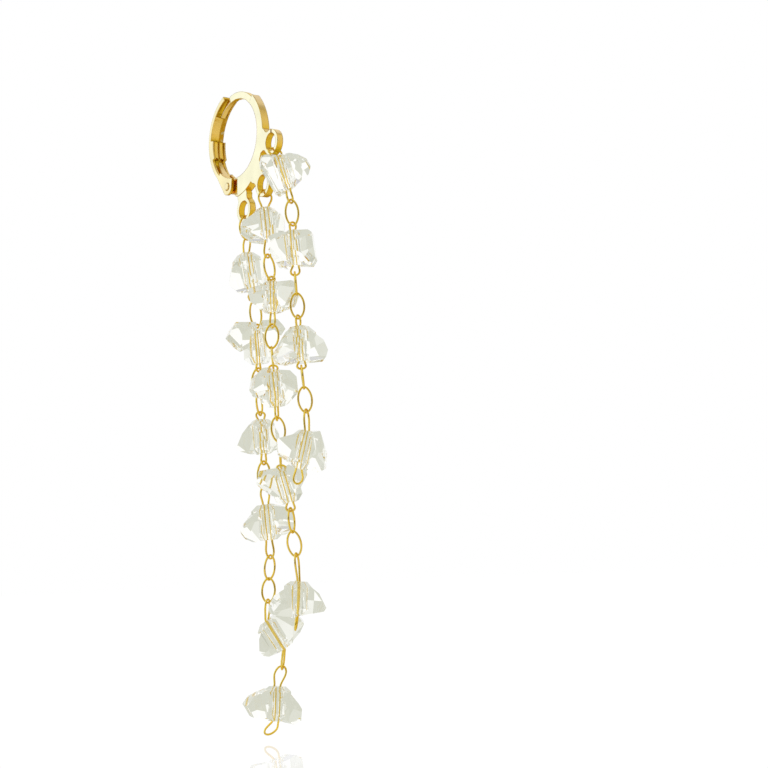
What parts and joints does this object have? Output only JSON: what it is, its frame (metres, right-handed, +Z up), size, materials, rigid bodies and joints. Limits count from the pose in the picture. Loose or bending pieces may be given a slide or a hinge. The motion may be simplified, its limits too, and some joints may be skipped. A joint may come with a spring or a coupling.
{
  "type": "hinged hoop earring with crystal strands",
  "caption": "Small hinged metal hoop earring with strands of drilled double-ended crystal chips hanging from rings on open wire links.",
  "frame": {"origin": "the top of the hoop's opening, where the post sits in the ear lobe", "axes": "the hoop lies in the XZ plane, its axis along Y. +X towards the rings that carry the strands, -X towards the lever, +Z up, and the strands hang along -Z"},
  "size_m": [0.0184, 0.0091, 0.0777],
  "materials": {
    "gold": "polished yellow gold plate",
    "wire_gold": "bright drawn yellow gold wire",
    "crystal": "clear faceted quartz"
  },
  "bodies": {
    "earring": {"hoop_frame": "gold", "hinge_pin": "gold", "bead_link_front_1": "wire_gold", "bead_link_front_2": "wire_gold", "bead_link_front_3": "wire_gold", "bead_link_front_4": "wire_gold", "bead_link_middle_1": "wire_gold", "bead_link_middle_2": "wire_gold", "bead_link_middle_3": "wire_gold", "bead_link_middle_4": "wire_gold", "bead_link_middle_5": "wire_gold", "bead_link_back_1": "wire_gold", "bead_link_back_2": "wire_gold", "bead_link_back_3": "wire_gold", "bead_link_back_4": "wire_gold", "bead_link_back_5": "wire_gold", "bead_link_back_6": "wire_gold", "links_front_1": "wire_gold", "links_front_2": "wire_gold", "links_front_3": "wire_gold", "links_middle_1": "wire_gold", "links_middle_2": "wire_gold", "links_middle_3": "wire_gold", "links_middle_4": "wire_gold", "links_back_1": "wire_gold", "links_back_2": "wire_gold", "links_back_3": "wire_gold", "links_back_4": "wire_gold", "links_back_5": "wire_gold", "crystal_front_1": "crystal", "crystal_front_2": "crystal", "crystal_front_3": "crystal", "crystal_front_4": "crystal", "crystal_middle_1": "crystal", "crystal_middle_2": "crystal", "crystal_middle_3": "crystal", "crystal_middle_4": "crystal", "crystal_middle_5": "crystal", "crystal_back_1": "crystal", "crystal_back_2": "crystal", "crystal_back_3": "crystal", "crystal_back_4": "crystal", "crystal_back_5": "crystal", "crystal_back_6": "crystal"},
    "lever": {"hoop_lever": "gold"}
  },
  "joints": [
    {"name": "lever_hinge", "type": "hinge", "parent": "earring", "child": "lever", "pos_m": [-0.0017, 0, -0.01065], "axis": [0, -1, 0], "range_deg": [0, 90]}
  ]
}
